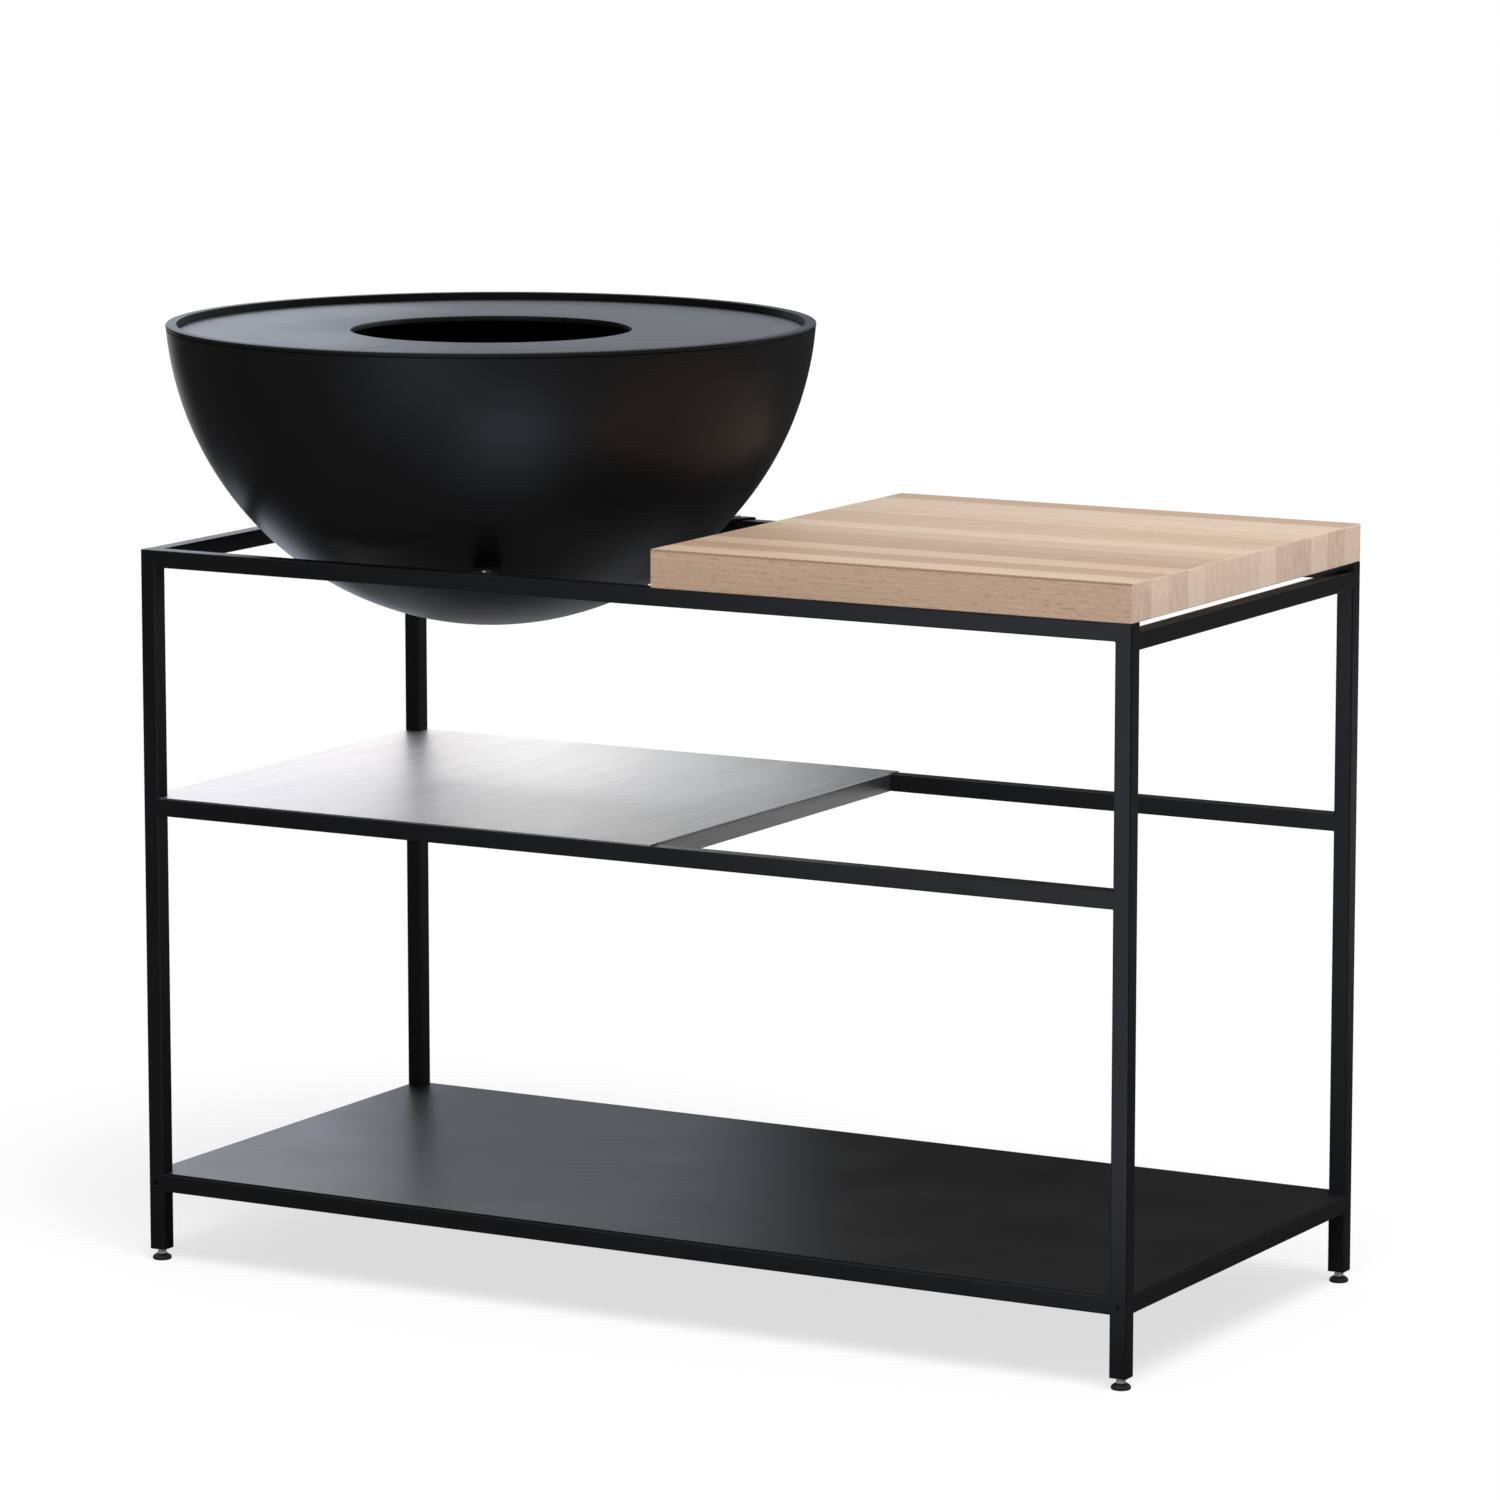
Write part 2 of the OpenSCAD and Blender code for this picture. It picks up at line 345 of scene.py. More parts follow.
def bowl_black():
    """Heat-proof paint on pressed steel: satin, with the faint waviness of the pressing."""
    m = Mat("bowl_paint", Specular_IOR_Level=0.22)
    wave = m.noise(m.co, 5.5, 2)
    grain = m.noise(m.co, 1500, 3, 0.6)
    speck = m.noise(m.co, 420, 2, 0.5)
    dark, pale = (0.0048, 0.0048, 0.0052), (0.0068, 0.0068, 0.0073)
    return m.to(
        Base_Color=m.ramp(speck, (0.3, dark), (0.72, pale)),
        Roughness=m.span(m.blend_of(wave, 1, grain, 0.5), 0.45, 1.1, 0.37, 0.45),
        Normal=m.bump(grain, 0.05, 0.0002, m.bump(wave, 0.05, 0.004)),
    )


def plate_steel():
    """Ground and seasoned steel: fine grinding marks along Y, and clouds from use."""
    m = Mat("seasoned_plate", Metallic=1.0)
    fine = m.noise(m.scaled((900, 26, 900)), 1, 4, 0.62)
    broad = m.noise(m.scaled((90, 8, 90)), 1, 2)
    cloud = m.noise(m.co, 7, 4, 0.55, 0.4)
    cold = (1, 1.01, 1.03)
    tone = m.mix(cloud, grey(0.115, cold), grey(0.215, cold))
    paler = m.mix(1.0, tone, (1.22, 1.22, 1.23), "MULTIPLY")
    return m.to(
        Base_Color=m.mix(m.span(fine, 0.3, 0.7, 0, 1), tone, paler),
        Roughness=m.span(m.blend_of(fine, 0.6, cloud, 0.7), 0.4, 0.9, 0.36, 0.5),
        Normal=m.bump(fine, 0.10, 0.0002, m.bump(broad, 0.03, 0.0006)),
    )


def brushed_steel():
    """Brushed stainless: hair-fine lines along Y, a few longer ones, and a soft cloudiness."""
    m = Mat("brushed_stainless", Metallic=1.0)
    hair = m.noise(m.scaled((2300, 9, 2300)), 1, 3, 0.6)
    line = m.noise(m.scaled((260, 4.5, 260)), 1, 4, 0.7)
    cloud = m.noise(m.scaled((22, 3.0, 22)), 1, 3)
    base = m.mix(m.span(line, 0.34, 0.66, 0, 1), (0.44, 0.44, 0.445), (0.66, 0.66, 0.665))
    base = m.mix(m.span(cloud, 0.35, 0.7, 0, 0.4), base, (0.68, 0.675, 0.675))
    return m.to(
        Base_Color=base,
        Roughness=m.span(m.blend_of(hair, 0.5, line, 0.6), 0.35, 0.8, 0.32, 0.48),
        Normal=m.bump(hair, 0.16, 0.0001, m.bump(line, 0.14, 0.0004)),
    )


def zinc_plating(name, rough, metallic):
    m = Mat(name, Metallic=metallic)
    n = m.noise(m.co, 260, 3)
    return m.to(
        Base_Color=m.ramp(n, (0.3, (0.60, 0.61, 0.63)), (0.7, (0.74, 0.75, 0.77))),
        Roughness=m.span(n, 0.3, 0.7, rough, rough + 0.12),
        Normal=m.bump(m.noise(m.co, 1400, 2), 0.04, 0.0001),
    )


def black_oxide():
    m = Mat("black_oxide", Metallic=1.0)
    n = m.noise(m.co, 300, 3)
    return m.to(
        Base_Color=m.ramp(n, (0.3, (0.03, 0.03, 0.033)), (0.7, (0.055, 0.055, 0.058))),
        Roughness=m.span(n, 0.3, 0.7, 0.34, 0.48),
        Normal=m.bump(m.noise(m.co, 1700, 2), 0.05, 0.0001),
    )


def moulded_black():
    m = Mat("moulded_black", Specular_IOR_Level=0.4)
    n = m.noise(m.co, 1200, 3, 0.6)
    return m.to(
        Base_Color=m.ramp(n, (0.3, (0.010, 0.010, 0.011)), (0.7, (0.016, 0.016, 0.017))),
        Roughness=m.span(n, 0.3, 0.7, 0.48, 0.6),
        Normal=m.bump(n, 0.12, 0.0001),
    )


def beech(lo, hi, staves):
    """Oiled beech glued up from staves along X: long grain, with end grain at the two ends."""
    m = Mat("oiled_beech", Specular_IOR_Level=0.35)
    _, y, z = m.split(m.co)
    width = (hi.y - lo.y) / staves
    just_in = 1e-5  # keeps the front face inside the first stave
    number = m.maths("FLOOR", m.maths("DIVIDE", m.maths("SUBTRACT", y, lo.y - just_in), width))
    dice, dice2 = m.dice(number, 37.3), m.dice(number, 5.71)
    # each stave is cut from elsewhere in the log, so its pattern is shifted by its own amount
    shift = m.node("ShaderNodeCombineXYZ")
    m.link(m.maths("MULTIPLY", dice, 3.0), shift.inputs[0])
    m.link(m.maths("MULTIPLY", dice2, 0.7), shift.inputs[1])
    m.link(m.maths("MULTIPLY", dice, 1.9), shift.inputs[2])
    add = m.node("ShaderNodeVectorMath", operation="ADD")
    m.link(m.co, add.inputs[0])
    m.link(shift.outputs[0], add.inputs[1])
    place = add.outputs[0]

    def grain(scale, detail, rough=0.5):
        return m.noise(m.scaled(scale, place), 1, detail, rough)

    def darken(colour, pattern, start, full, most, dark):
        """Takes colour towards dark, by most, as the pattern goes from start to full."""
        return m.mix(m.span(pattern, start, full, 0.0, most), colour, dark)

    # growth rings: leaning bands across Y and Z, drawn out along X
    rings_per_metre = 210
    _, across, depth = m.split(place)
    lean = m.span(dice2, 0, 1, -0.9, 0.9)
    across = m.maths("ADD", across, m.maths("MULTIPLY", depth, lean))
    across = m.blend_of(across, 1, grain((1.2, 9, 9), 2), 0.012)
    rings = m.maths("FRACT", m.maths("MULTIPLY", across, rings_per_metre))
    stops = ((0.0, 0), (0.72, 0.45), (0.9, 1), (1.0, 0.05))
    ring = m.ramp(rings, *((at, (v, v, v)) for at, v in stops))
    fibre = grain((16, 900, 900), 4, 0.65)
    fleck = grain((75, 620, 420), 2)
    pores = grain((140, 1500, 1500), 2)
    drift = grain((2.2, 26, 26), 3)

    light = m.ramp(
        dice,
        (0.0, (0.46, 0.32, 0.225)),
        (0.3, (0.68, 0.53, 0.395)),
        (0.65, (0.57, 0.425, 0.30)),
        (1.0, (0.71, 0.575, 0.455)),
    )
    colour = darken(light, drift, 0.35, 0.7, 0.5, m.mix(1.0, light, (0.86, 0.79, 0.72), "MULTIPLY"))
    colour = m.mix(m.maths("MULTIPLY", ring, 0.30), colour, (0.38, 0.25, 0.165))
    colour = darken(colour, fibre, 0.40, 0.68, 0.34, (0.40, 0.27, 0.185))
    colour = darken(colour, fleck, 0.56, 0.70, 0.45, (0.33, 0.21, 0.14))
    colour = darken(colour, pores, 0.60, 0.72, 0.40, (0.25, 0.155, 0.10))

    # the front and back get painted shade, darker than the top; the two ends are a paler pink, with
    # rays and rings
    turned = m.node(
        "ShaderNodeVectorTransform", vector_type="NORMAL", convert_from="WORLD", convert_to="OBJECT"
    )
    m.link(m.node("ShaderNodeNewGeometry").outputs["Normal"], turned.inputs[0])
    normal = m.split(turned.outputs[0])
    is_end, is_side = (m.span(m.maths("ABSOLUTE", normal[i]), 0.6, 0.8, 0, 1) for i in (0, 1))
    end = m.mix(m.span(dice2, 0, 1, 0, 1), (0.76, 0.59, 0.46), (0.56, 0.385, 0.285))
    end = m.mix(m.maths("MULTIPLY", ring, 0.5), end, (0.42, 0.25, 0.18))
    end = m.mix(m.span(grain((40, 420, 60), 3, 0.6), 0.40, 0.65, 0.0, 0.5), end, (0.80, 0.66, 0.55))
    end = darken(end, grain((500, 2000, 2000), 2), 0.58, 0.7, 0.25, (0.34, 0.21, 0.14))
    # painted shade: the front and back faces are darkened in colour for the weaker light that falls
    # on them
    colour = m.mix(is_side, colour, m.mix(1.0, colour, (0.82, 0.74, 0.69), "MULTIPLY"))
    colour = m.mix(is_end, colour, end)

    # the eased long edges of the top are a little darker
    half = (hi.y - lo.y) / 2
    off_middle = m.maths("ABSOLUTE", m.maths("SUBTRACT", y, (lo.y + hi.y) / 2))
    long_edge = m.span(off_middle, half - 2.6 * MM, half - 1.6 * MM, 0.0, 1.0)
    high = m.span(z, hi.z - 3.0 * MM, hi.z - 1.8 * MM, 0.0, 1.0)
    eased = m.maths("MULTIPLY", m.maths("MULTIPLY", high, long_edge), 0.7)
    colour = m.mix(eased, colour, (0.20, 0.125, 0.08))

    # glue lines, a hair darker; FRACT is near 0 or 1 at a joint
    along = m.maths("FRACT", m.maths("DIVIDE", m.maths("SUBTRACT", y, lo.y), width))
    glue = m.span(m.maths("ABSOLUTE", m.maths("SUBTRACT", along, 0.5)), 0.4925, 0.4985, 0.0, 0.55)
    glue = m.maths("MULTIPLY", glue, m.maths("SUBTRACT", 1.0, is_side))
    return m.to(
        Base_Color=m.mix(glue, colour, (0.26, 0.165, 0.10)),
        Roughness=m.span(m.blend_of(fibre, 0.6, ring, 0.2), 0.2, 0.7, 0.42, 0.56),
        Normal=m.bump(pores, 0.10, 0.0002, m.bump(fibre, 0.12, 0.00025)),
    )


# -------------------------------------------------------------- the materials

frame_black = powder_black("frame_powder_coat", 0.0042, 0.40, 0.40)
shelf_black = powder_black("panel_powder_coat", 0.0048, 0.36, 0.38)
bowl_paint = bowl_black()
plate_mat = plate_steel()
steel_mat = brushed_steel()
zinc = zinc_plating("zinc_plate", 0.24, 1.0)
dull_zinc = zinc_plating("dull_zinc_plate", 0.34, 0.5)
oxide = black_oxide()
moulding = moulded_black()


# ----------------------------------------------------------------- the frame

# the CAD nodes that stay, by the start of their names
for start, finish in (
    ("leg_front", frame_black),
    ("leg_back", frame_black),
    ("top_rail", frame_black),
    ("mid_rail", frame_black),
    ("bottom_rail", frame_black),
    ("board_strips", frame_black),
    ("bowl_lug", bowl_paint),
    ("leg_inserts", moulding),
    ("rail_end_plugs", zinc),
    ("frame_screws", oxide),
    ("strip_screws", zinc),
    ("lug_pins", zinc),
):
    for name, ob in nodes.items():
        if name.startswith(start):
            ob.material_slots[0].material = finish

# welds in the frame's inner corners, under and beside each rail's end
xl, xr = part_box("leg_front_left")[1].x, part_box("leg_front_right")[0].x
yf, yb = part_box("leg_front_left")[1].y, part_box("leg_back_left")[0].y
WELD, WELD_END = 1.5 * MM, 2 * MM
beads = []
levels, sides = ("top", "mid", "bottom"), ("front", "back")
for name in [f"{level}_rail_{side}" for level in levels for side in sides]:
    lo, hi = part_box(name)
    inner_y = hi.y if "front" in name else lo.y
    for x in (xl, xr):
        beads.append(bead((x, lo.y + WELD_END, lo.z), (x, hi.y - WELD_END, lo.z), WELD))
        if "bottom" in name:  # higher up, the shelf and the board slide along the inner faces
            ends = (x, inner_y, lo.z + WELD_END), (x, inner_y, hi.z - WELD_END)
            beads.append(bead(*ends, WELD))
for name in [f"{level}_rail_{side}" for level in ("top", "bottom") for side in ("left", "right")]:
    lo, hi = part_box(name)
    inner_x = hi.x if "left" in name else lo.x
    for y in (yf, yb):
        beads.append(bead((lo.x + WELD_END, y, lo.z), (hi.x - WELD_END, y, lo.z), WELD))
        beads.append(bead((inner_x, y, lo.z + WELD_END), (inner_x, y, hi.z - WELD_END), WELD))
welds = mesh_piece("frame_welds", *joined(beads), sharp=60)
dress(welds, frame_black, "frame", "frame_black")

# bottom shelf: one sheet notched round the legs, with folded lips inside the rails
lo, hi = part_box("bottom_shelf")
sheet, gap, lip_gap = 2 * MM, 0.5 * MM, 1 * MM
x0, x1, y0, y1 = xl + gap, xr - gap, yf + gap, yb - gap  # the notches
outline = [
    (x0, lo.y), (x1, lo.y), (x1, y0), (hi.x, y0), (hi.x, y1), (x1, y1),
    (x1, hi.y), (x0, hi.y), (x0, y1), (lo.x, y1), (lo.x, y0), (x0, y0),
]
parts = [slab(outline, hi.z - sheet, hi.z)]
x0, x1, y0, y1 = xl + lip_gap, xr - lip_gap, yf + lip_gap, yb - lip_gap  # the lips
for a, b in (
    ((x0, y0), (x1, y0 + sheet)),
    ((x0, y1 - sheet), (x1, y1)),
    ((x0, y0 + sheet), (x0 + sheet, y1 - sheet)),
    ((x1 - sheet, y0 + sheet), (x1, y1 - sheet)),
):
    parts.append(block((*a, lo.z), (*b, hi.z - sheet)))
panel = mesh_piece("bottom_panel", *joined(parts))
bevel(panel, 0.35 * MM, 60)
dress(panel, shelf_black, "frame", "frame_black", "bottom_shelf")

# ------------------------------------------------------------------ the feet


def threaded(cx, cy, z0, z1, major, minor, pitch, around=40, per_turn=8):
    """A right-hand thread between z0 and z1, its ends closed."""
    rows = int((z1 - z0) / pitch * per_turn)
    verts = []
    for i in range(rows + 1):
        z = z0 + (z1 - z0) * i / rows
        fade = min(1.0, i / 4, (rows - i) / 8)
        for k in range(around):
            a = TAU * k / around
            phase = ((z - z0) / pitch - k / around) % 1.0
            crest = max(0.0, min(1.0, 2.6 * (0.5 - abs(phase - 0.5)) - 0.15))
            r = minor + (major - minor) * crest * fade
            verts.append((cx + r * math.cos(a), cy + r * math.sin(a), z))
    return verts, skin(rows + 1, around)


def hexagon(cx, cy, z0, z1, corner_r, ease, around=48):
    """A hexagonal collar whose corners are turned down by ease at its two ends."""
    sixth = math.pi / 3
    flat_r = corner_r * math.cos(sixth / 2)
    rings = [(z0, -ease), (z0 + ease * 0.6, 0), (z1 - ease * 0.6, 0), (z1, -ease)]
    verts = []
    for z, less in rings:
        for k in range(around):
            a = TAU * k / around
            r = min(flat_r / math.cos(a % sixth - sixth / 2), corner_r + less)
            verts.append((cx + r * math.cos(a), cy + r * math.sin(a), z))
    return verts, skin(len(rings), around)


PIN_R, PIN_TOP = 3.2 * MM, 7 * MM  # the stud's end, which turns in the pad
COLLAR_Z, COLLAR_R = (6.6 * MM, 9.4 * MM), 5.6 * MM
THREAD_Z, THREAD_R, ROOT_R, PITCH = 9.3 * MM, 3.95 * MM, 3.35 * MM, 1.25 * MM

for full in ("front_left", "front_right", "back_left", "back_right"):
    short = "".join(word[0] for word in full.split("_"))
    lo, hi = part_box("stud_" + full)
    cx, cy = (lo.x + hi.x) / 2, (lo.y + hi.y) / 2
    ease = 0.6 * MM
    pin = [
        (0, lo.z), (PIN_R - ease, lo.z), (PIN_R, lo.z + ease), (PIN_R, PIN_TOP), (0, PIN_TOP),
    ]
    parts = [
        lathe(pin, cx, cy, 40),
        hexagon(cx, cy, *COLLAR_Z, COLLAR_R, 0.35 * MM),
        threaded(cx, cy, THREAD_Z, hi.z, THREAD_R, ROOT_R, PITCH),
    ]
    stud = mesh_piece("levelling_stud_" + short, *joined(parts), sharp=28)
    dress(stud, dull_zinc, "screw_" + short, "zinc", "stud_" + full)
    lo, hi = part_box("pad_" + full)
    r = (hi.x - lo.x) / 2 / MM
    # radius, height and rounding in millimetres: foot, edge, dome, and the socket for the stud
    corners = [
        (0, 0, 0), (r - 0.9, 0, 0.5), (r, 0.9, 0.6), (r, 3.0, 0.8), (r - 1.2, 4.6, 1.6),
        (6.8, 6.1, 0.8), (6.0, 6.6, 0.3), (3.25, 6.6, 0.2), (3.25, 2.5, 0), (0, 2.5, 0),
    ]
    loop = rounded([(a * MM, b * MM, c * MM) for a, b, c in corners])
    pad = mesh_piece("foot_pad_" + short, *lathe(loop, cx, cy, 72), sharp=40)
    dress(pad, moulding, "foot_" + short, "foot_black", "pad_" + full)

# --------------------------------------------------------------- steel shelf

lo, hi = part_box("steel_shelf")
sheet, fold = 1.5 * MM, 2.2 * MM
x0 = lo.x + 19 * MM  # notched round the left legs, which are this wide
y0, y1 = yf + 1 * MM, yb - 1 * MM
relief, relief_x = 3.2 * MM, hi.x - 3 * MM
outline = [
    (x0, lo.y), (hi.x, lo.y), (hi.x, y0 - relief), (relief_x, y0 - relief), (relief_x, y0),
    (hi.x - fold, y0), (hi.x - fold, y1), (relief_x, y1), (relief_x, y1 + relief),
    (hi.x, y1 + relief), (hi.x, hi.y), (x0, hi.y), (x0, y1), (lo.x, y1), (lo.x, y0), (x0, y0),
]
quarter = [math.pi / 2 * k / 8 for k in range(9)]


def around_fold(radius, angles):
    x, z = hi.x - fold, hi.z - fold
    return [(x + radius * math.sin(a), z + radius * math.cos(a)) for a in angles]


profile = around_fold(fold, quarter) + [(hi.x, lo.z), (hi.x - sheet, lo.z)]
profile += around_fold(fold - sheet, reversed(quarter))
parts = [slab(outline, hi.z - sheet, hi.z), strip_y(profile, y0, y1)]
lip = x0 + 2 * MM
for a, b in (
    ((lip, y0), (hi.x - sheet, y0 + sheet)),
    ((lip, y1 - sheet), (hi.x - sheet, y1)),
    ((lip, y0 + sheet), (lip + sheet, y1 - sheet)),
):
    parts.append(block((*a, lo.z), (*b, hi.z - sheet)))
shelf = mesh_piece("folded_steel_shelf", *joined(parts), sharp=25)
dress(shelf, steel_mat, "shelf", "stainless", "steel_shelf")

# --------------------------------------------------------------------- board

lo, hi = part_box("board")
STAVES = 13
EASE = 1.6 * MM
GROOVE_DEPTH, GROOVE_HALF = 0.14 * MM, 0.22 * MM
LIFT = 0.02 * MM  # keeps its underside off the rails
glue_lines = [lo.y + i * (hi.y - lo.y) / STAVES for i in range(1, STAVES)]
beech_mat = beech(lo, hi, STAVES)


def board_section(inset):
    """The board's (y, z) outline, drawn in by inset, with a fine groove at each glue line."""
    y0, y1, z0, z1 = lo.y + inset, hi.y - inset, lo.z + LIFT + inset, hi.z - inset
    r = max(EASE - inset, 0.05 * MM)

    def corner(cy, cz, a0):
        turns = [a0 + math.pi / 2 * k / 5 for k in range(6)]
        return [(cy + r * math.cos(a), cz + r * math.sin(a)) for a in turns]

    def grooves(z, depth):
        half = math.copysign(GROOVE_HALF, depth)
        lines = glue_lines if depth > 0 else reversed(glue_lines)
        return [p for c in lines for p in ((c - half, z), (c, z + depth), (c + half, z))]

    return [
        *corner(y0 + r, z0 + r, math.pi),
        *grooves(z0, GROOVE_DEPTH),
        *corner(y1 - r, z0 + r, -math.pi / 2),
        *corner(y1 - r, z1 - r, 0),
        *grooves(z1, -GROOVE_DEPTH),
        *corner(y0 + r, z1 - r, math.pi / 2),
    ]


# the sections' places along X, from the left end's eased edge to the right end's
turns = [math.pi / 2 * k / 5 for k in range(6)]
cuts = [(EASE * (1 - math.sin(a)), EASE * (1 - math.cos(a))) for a in reversed(turns)]
cuts = [(lo.x + d, inset) for d, inset in cuts] + [(hi.x - d, inset) for d, inset in reversed(cuts)]
sections = [[(x, y, z) for y, z in board_section(inset)] for x, inset in cuts]
verts = [point for section in sections for point in section]
faces = skin(len(sections), len(sections[0]))
board = mesh_piece("butcher_block", verts, faces, sharp=24)
dress(board, beech_mat, "cutting_board", "beech", "board")

# ---------------------------------------------------------------------- bowl

lo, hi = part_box("bowl_rim")
bx, by = (lo.x + hi.x) / 2, (lo.y + hi.y) / 2
rim_r, rim_z = (hi.x - lo.x) / 2 - 0.02 * MM, hi.z
ledge_z = lo.z
base_z, edge_z = (corner.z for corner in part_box("bowl_shell"))
BALL_R, WALL = 357.7 * MM, 3 * MM
ball_z = rim_z + 24.5 * MM


def arc_on(radius, z_from, z_to, steps):
    """(r, z) points on a ball about the bowl's centre, from one height to another."""
    a0, a1 = (math.asin((z - ball_z) / radius) for z in (z_from, z_to))
    turns = [a0 + (a1 - a0) * k / steps for k in range(steps + 1)]
    return [(radius * math.cos(a), ball_z + radius * math.sin(a)) for a in turns]


def ball_r_at(z):
    return math.sqrt(BALL_R**2 - (ball_z - z) ** 2)


# the shell's section: the flat base and its slightly eased edge, then up the outside and down inside
base_r = ball_r_at(base_z)
loop = [(0, base_z), (base_r - 3 * MM, base_z), (base_r, base_z + 0.12 * MM)]
loop += arc_on(BALL_R, base_z + 0.5 * MM, edge_z, 72)
loop += arc_on(BALL_R - WALL, edge_z, base_z + WALL, 72)
loop += [(0, base_z + WALL)]
shell = mesh_piece("fire_bowl_shell", *lathe(loop, bx, by, 288), sharp=40)
dress(shell, bowl_paint, "fire_bowl", "bowl_black", "bowl_shell")

# the rim's section: the ledge that carries the plates, an upright inner wall, and a flat lip,
# which stands on the shell's edge along a narrow weld
lip_in, lip_z = rim_r - 12 * MM, edge_z + 1 * MM
wall_out = lip_in + WALL
ledge_in, ledge_top = lip_in - 15 * MM, ledge_z + WALL
weld_in, weld_out = 353.7 * MM, 355.3 * MM
corners = [
    (ledge_in, ledge_z, 0.4), (wall_out, ledge_z, 0.6), (wall_out, lip_z, 0.6),
    (weld_in, lip_z, 0), (weld_in, edge_z, 0), (weld_out, edge_z, 0), (weld_out, lip_z, 0),
    (rim_r, lip_z, 1.9), (rim_r, rim_z, 1.9), (lip_in, rim_z, 0.7),
    (lip_in, ledge_top, 0.4), (ledge_in, ledge_top, 0.5),
]
loop = rounded([(r, z, round_mm * MM) for r, z, round_mm in corners], 6)
rim = mesh_piece("fire_bowl_rim", *lathe(loop, bx, by, 288), sharp=40)
dress(rim, bowl_paint, "fire_bowl", "bowl_black", "bowl_rim")

# weld beads where the three lugs meet the bowl
lug_top, LUG_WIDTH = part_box("bowl_lug_left")[1].z, 30 * MM
r = ball_r_at(lug_top) + 0.6 * MM
beads = []
for turn in (180, 60, -60):
    run = [math.radians(turn) + (k / 10 - 0.5) * LUG_WIDTH / r for k in range(11)]
    ring = [(bx + r * math.cos(a), by + r * math.sin(a), lug_top + 0.2 * MM) for a in run]
    beads += [bead(p, q, 1.6 * MM, 1.5 * MM) for p, q in zip(ring, ring[1:])]
lug_welds = mesh_piece("lug_welds", *joined(beads), sharp=60)
dress(lug_welds, bowl_paint, "fire_bowl", "bowl_black")

# ---------------------------------------------------------------- ring plate

PLATE_HOLE_R, PLATE_GAP = 154.5 * MM, 1 * MM
for side, tag in ((-1, "left"), (1, "right")):
    lo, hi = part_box("plate_half_" + tag)
    ri, ro = PLATE_HOLE_R, (hi.y - lo.y) / 2
    corners = [(ri, lo.z, 0.3), (ro, lo.z, 0.3), (ro, hi.z, 0.9), (ri, hi.z, 1.0)]
    loop = rounded([(r, z, round_mm * MM) for r, z, round_mm in corners])
    half = mesh_piece("ring_plate_" + tag, *half_ring(loop, bx, by, side, PLATE_GAP), sharp=50)
    bevel(half, 0.7 * MM, 70)
    dress(half, plate_mat, "plate_" + tag, "plate_steel", "plate_half_" + tag)

# --------------------------------------------------------- studio and camera


def stage_mesh(name, verts, faces, material):
    me = bpy.data.meshes.new(name)
    me.from_pydata(verts, [], faces)
    me.materials.append(material)
    ob = bpy.data.objects.new(name, me)
    scene.collection.objects.link(ob)
    return ob


def bare_material(name):
    """A material with an empty tree, and the tree."""
    mat = bpy.data.materials.new(name)
    mat.use_nodes = True
    mat.node_tree.nodes.clear()
    return mat, Nodes(mat.node_tree)


# the floor is pale to the eye, and dark in the part's reflections, as a table in a white room is
floor_mat, n = bare_material("floor")
soft, dark = n.node("ShaderNodeBsdfDiffuse"), n.node("ShaderNodeBsdfDiffuse")
soft.inputs["Color"].default_value = (0.24, 0.24, 0.24, 1)
dark.inputs["Color"].default_value = (0.055, 0.056, 0.06, 1)
glow = n.node("ShaderNodeEmission")
glow.inputs["Strength"].default_value = 0.70
lit, pick = n.node("ShaderNodeAddShader"), n.node("ShaderNodeMixShader")
n.link(soft.outputs[0], lit.inputs[0])
n.link(glow.outputs[0], lit.inputs[1])
n.link(n.node("ShaderNodeLightPath").outputs["Is Glossy Ray"], pick.inputs[0])
n.link(lit.outputs[0], pick.inputs[1])
n.link(dark.outputs[0], pick.inputs[2])
n.link(pick.outputs[0], n.node("ShaderNodeOutputMaterial").inputs["Surface"])
FLOOR = 80
corners = [(-FLOOR, -FLOOR, 0), (FLOOR, -FLOOR, 0), (FLOOR, FLOOR, 0), (-FLOOR, FLOOR, 0)]
stage_mesh("floor", corners, [(0, 1, 2, 3)], floor_mat)

# the world: white to the camera, an even grey light, and a dark horizon under a bright ceiling
# in reflections
world = bpy.data.worlds.new("studio")
scene.world = world
world.use_nodes = True
n = Nodes(world.node_tree)
background = n.t.nodes["Background"]
up = n.split(n.node("ShaderNodeTexCoord").outputs["Generated"])[2]
ceiling = n.span(up, 0.32, 0.80, 0.01, 0.75, "SMOOTHSTEP")
ray = n.node("ShaderNodeLightPath").outputs
level = n.span(ray["Is Camera Ray"], 0, 1, 0.42, 1.05)
choose = n.node("ShaderNodeMix")
n.link(ray["Is Glossy Ray"], choose.inputs[0])
n.link(level, choose.inputs[2])
n.link(ceiling, choose.inputs[3])
n.link(choose.outputs[0], background.inputs["Strength"])
background.inputs["Color"].default_value = (1, 1, 1, 1)


def sun(name, strength, elevation, azimuth, angle):
    """A wide sun for the diffuse light; azimuth 0 stands at -Y and grows towards +X."""
    data = bpy.data.lights.new(name, "SUN")
    data.energy, data.angle = strength, math.radians(angle)
    ob = bpy.data.objects.new(name, data)
    scene.collection.objects.link(ob)
    e, a = math.radians(elevation), math.radians(azimuth)
    d = Vector((math.sin(a) * math.cos(e), -math.cos(a) * math.cos(e), math.sin(e)))
    ob.rotation_mode = "QUATERNION"
    ob.rotation_quaternion = d.to_track_quat("Z", "Y")
    ob.location = d * 6
    ob.visible_glossy = False


sun("key", 3.15, 68, 45, 34)


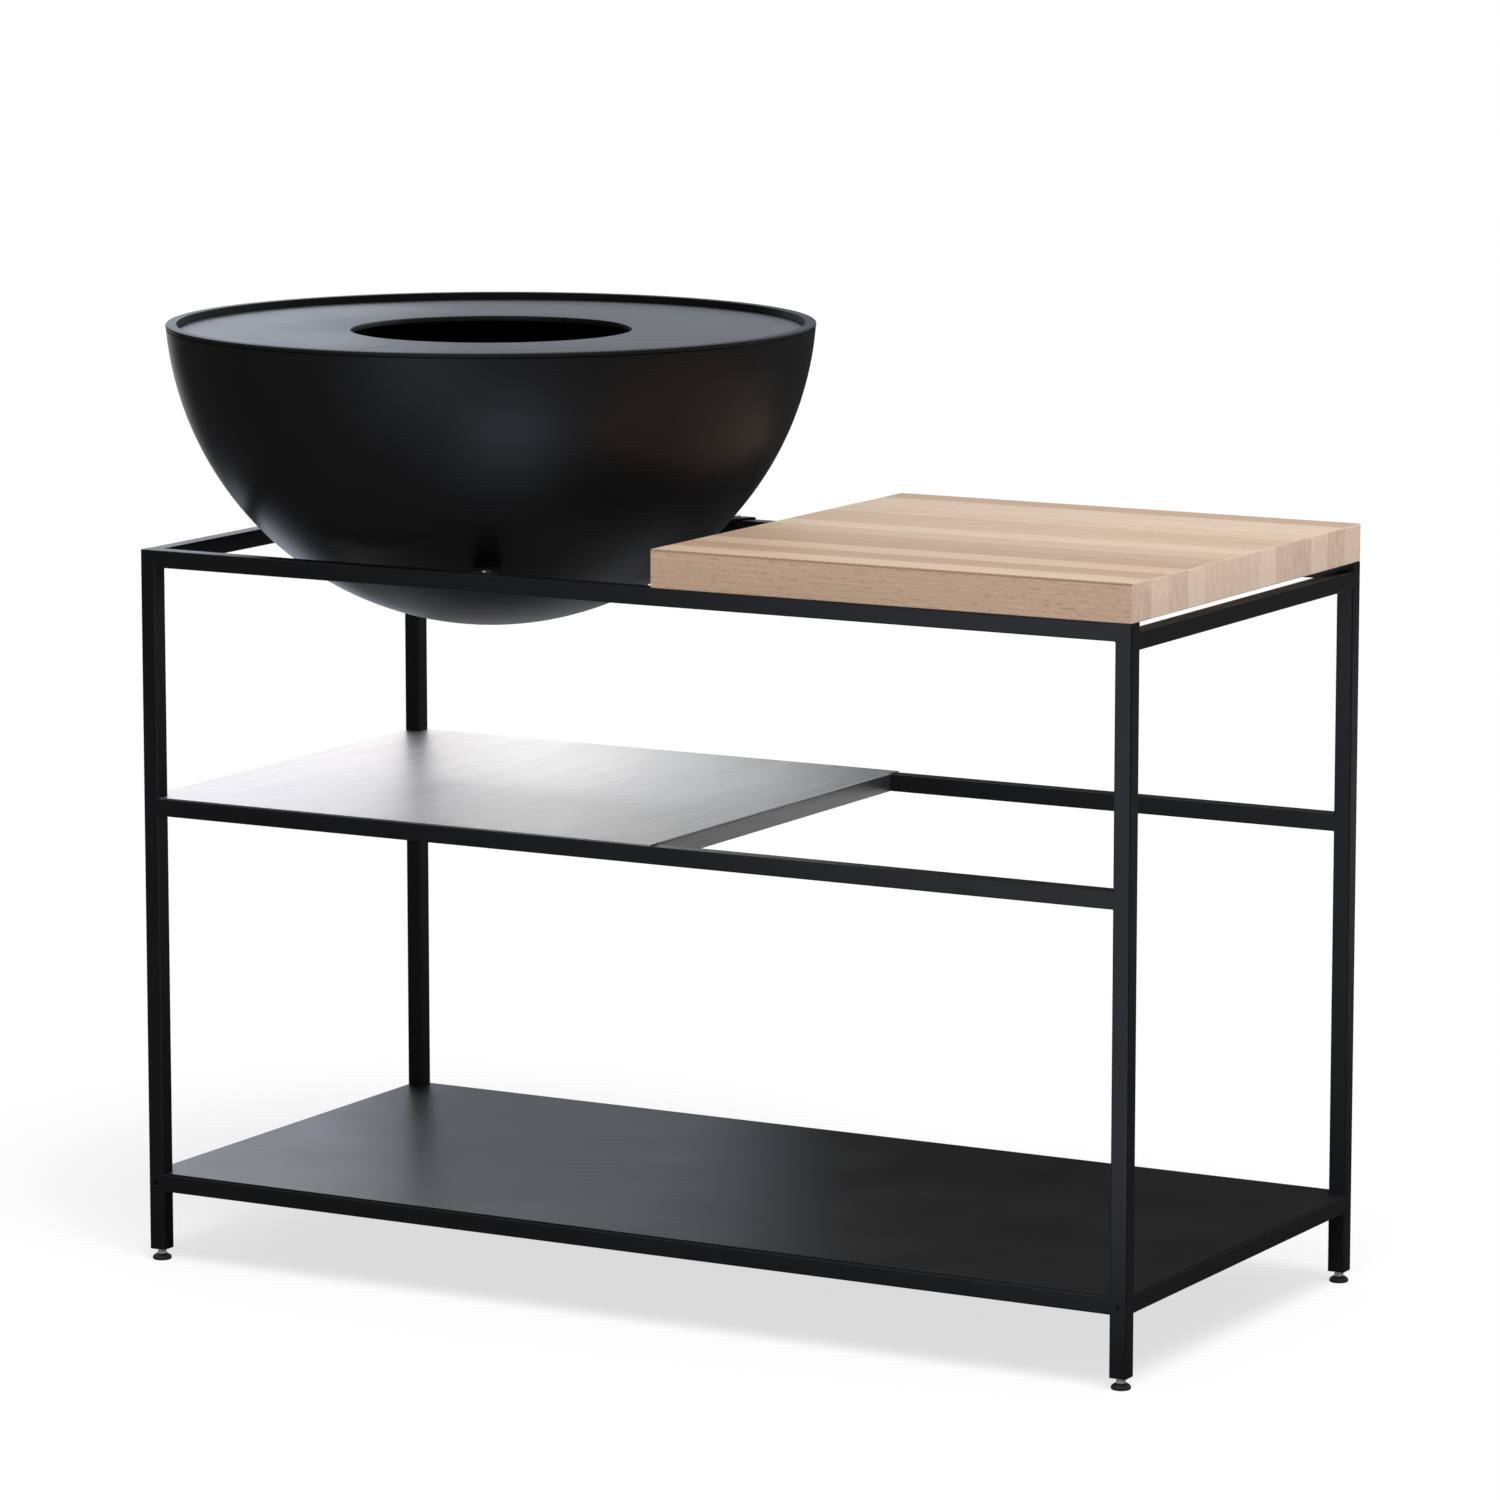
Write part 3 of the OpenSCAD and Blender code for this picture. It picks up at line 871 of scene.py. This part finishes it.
def softbox(name, centre, facing, width, height, strength, colour=(1, 1, 1), falloff=0.5):
    """A soft-edged panel that only shows in reflections; falloff is its edges' share of it."""
    mat, n = bare_material(name)
    fades = [
        n.span(
            n.maths("ABSOLUTE", n.maths("SUBTRACT", along, 0.5)),
            0.5 - 0.5 * falloff, 0.5, 1, 0, "SMOOTHSTEP",
        )
        for along in list(n.split(n.node("ShaderNodeTexCoord").outputs["Generated"]))[:2]
    ]
    gain = n.maths("MULTIPLY", n.maths("MULTIPLY", *fades), strength)
    light, add = n.node("ShaderNodeEmission"), n.node("ShaderNodeAddShader")
    light.inputs["Color"].default_value = (*colour, 1)
    n.link(gain, light.inputs["Strength"])
    n.link(light.outputs[0], add.inputs[0])
    n.link(n.node("ShaderNodeBsdfTransparent").outputs[0], add.inputs[1])
    n.link(add.outputs[0], n.node("ShaderNodeOutputMaterial").inputs["Surface"])
    x, y = width / 2, height / 2
    ob = stage_mesh(name, [(-x, -y, 0), (x, -y, 0), (x, y, 0), (-x, y, 0)], [(0, 1, 2, 3)], mat)
    ob.location = centre
    ob.rotation_mode = "QUATERNION"
    ob.rotation_quaternion = Vector(facing).normalized().to_track_quat("Z", "Y")
    ob.visible_camera = ob.visible_diffuse = ob.visible_shadow = False
    ob.visible_transmission = ob.visible_volume_scatter = False


# each card is named for what it brightens
COOL, PALE = (0.88, 0.97, 1.13), (0.97, 1.0, 0.985)
softbox("card_shelf", (-1.22, 0.8, 0.78), (0, -1, 0), 1.75, 0.60, 1.78, (1.03, 0.99, 0.985), 0.5)
softbox("card_shelf_right", (-0.55, 0.8, 0.80), (0, -1, 0), 0.70, 0.42, 0.85, PALE, 0.6)
softbox("card_plate", (-0.5, 0.85, 1.30), (0, -1, 0), 3.2, 0.62, 0.56, COOL, 0.15)
softbox("card_plate_left", (-1.35, 0.85, 1.32), (0, -1, 0), 1.1, 0.6, 1.8, COOL, 0.6)
softbox("card_left", (-1.25, 0.72, 0.28), (1, -0.4, 0), 1.0, 0.5, 1.6, COOL, 0.5)
softbox("card_panel", (-0.70, 0.85, 0.3), (0, -1, 0), 0.8, 0.36, 0.6, COOL, 0.6)
softbox("card_front", (0.0, -1.6, 0.6), (0, 1, 0), 1.2, 1.3, 1.3, COOL, 0.6)
softbox("card_floor", (0.66, -1.15, 0.02), (0, 0, 1), 1.4, 1.2, 3.4, COOL, 0.9)
softbox("card_right", (5.0, 0.5, 1.5), (-1, 0, 0), 3.5, 3.0, 0.10, falloff=0.9)
softbox("card_flange", (0.92, 1.5, 0.28), (-0.5, -1, 0), 0.6, 0.7, 0.75, falloff=0.8)

scene.view_settings.view_transform = "Standard"
scene.view_settings.look = "None"

# the camera stands and looks as the photograph's does
cam_data = bpy.data.cameras.new("camera")
cam_data.sensor_width = 36
cam_data.lens = 163.85
cam_data.clip_start, cam_data.clip_end = 0.1, 300
cam = bpy.data.objects.new("camera", cam_data)
scene.collection.objects.link(cam)
cam.location = (3.62055, -6.3851, 1.749)
cam.rotation_euler = (math.pi / 2 - 0.1585, 0, 0.5107)
scene.camera = cam
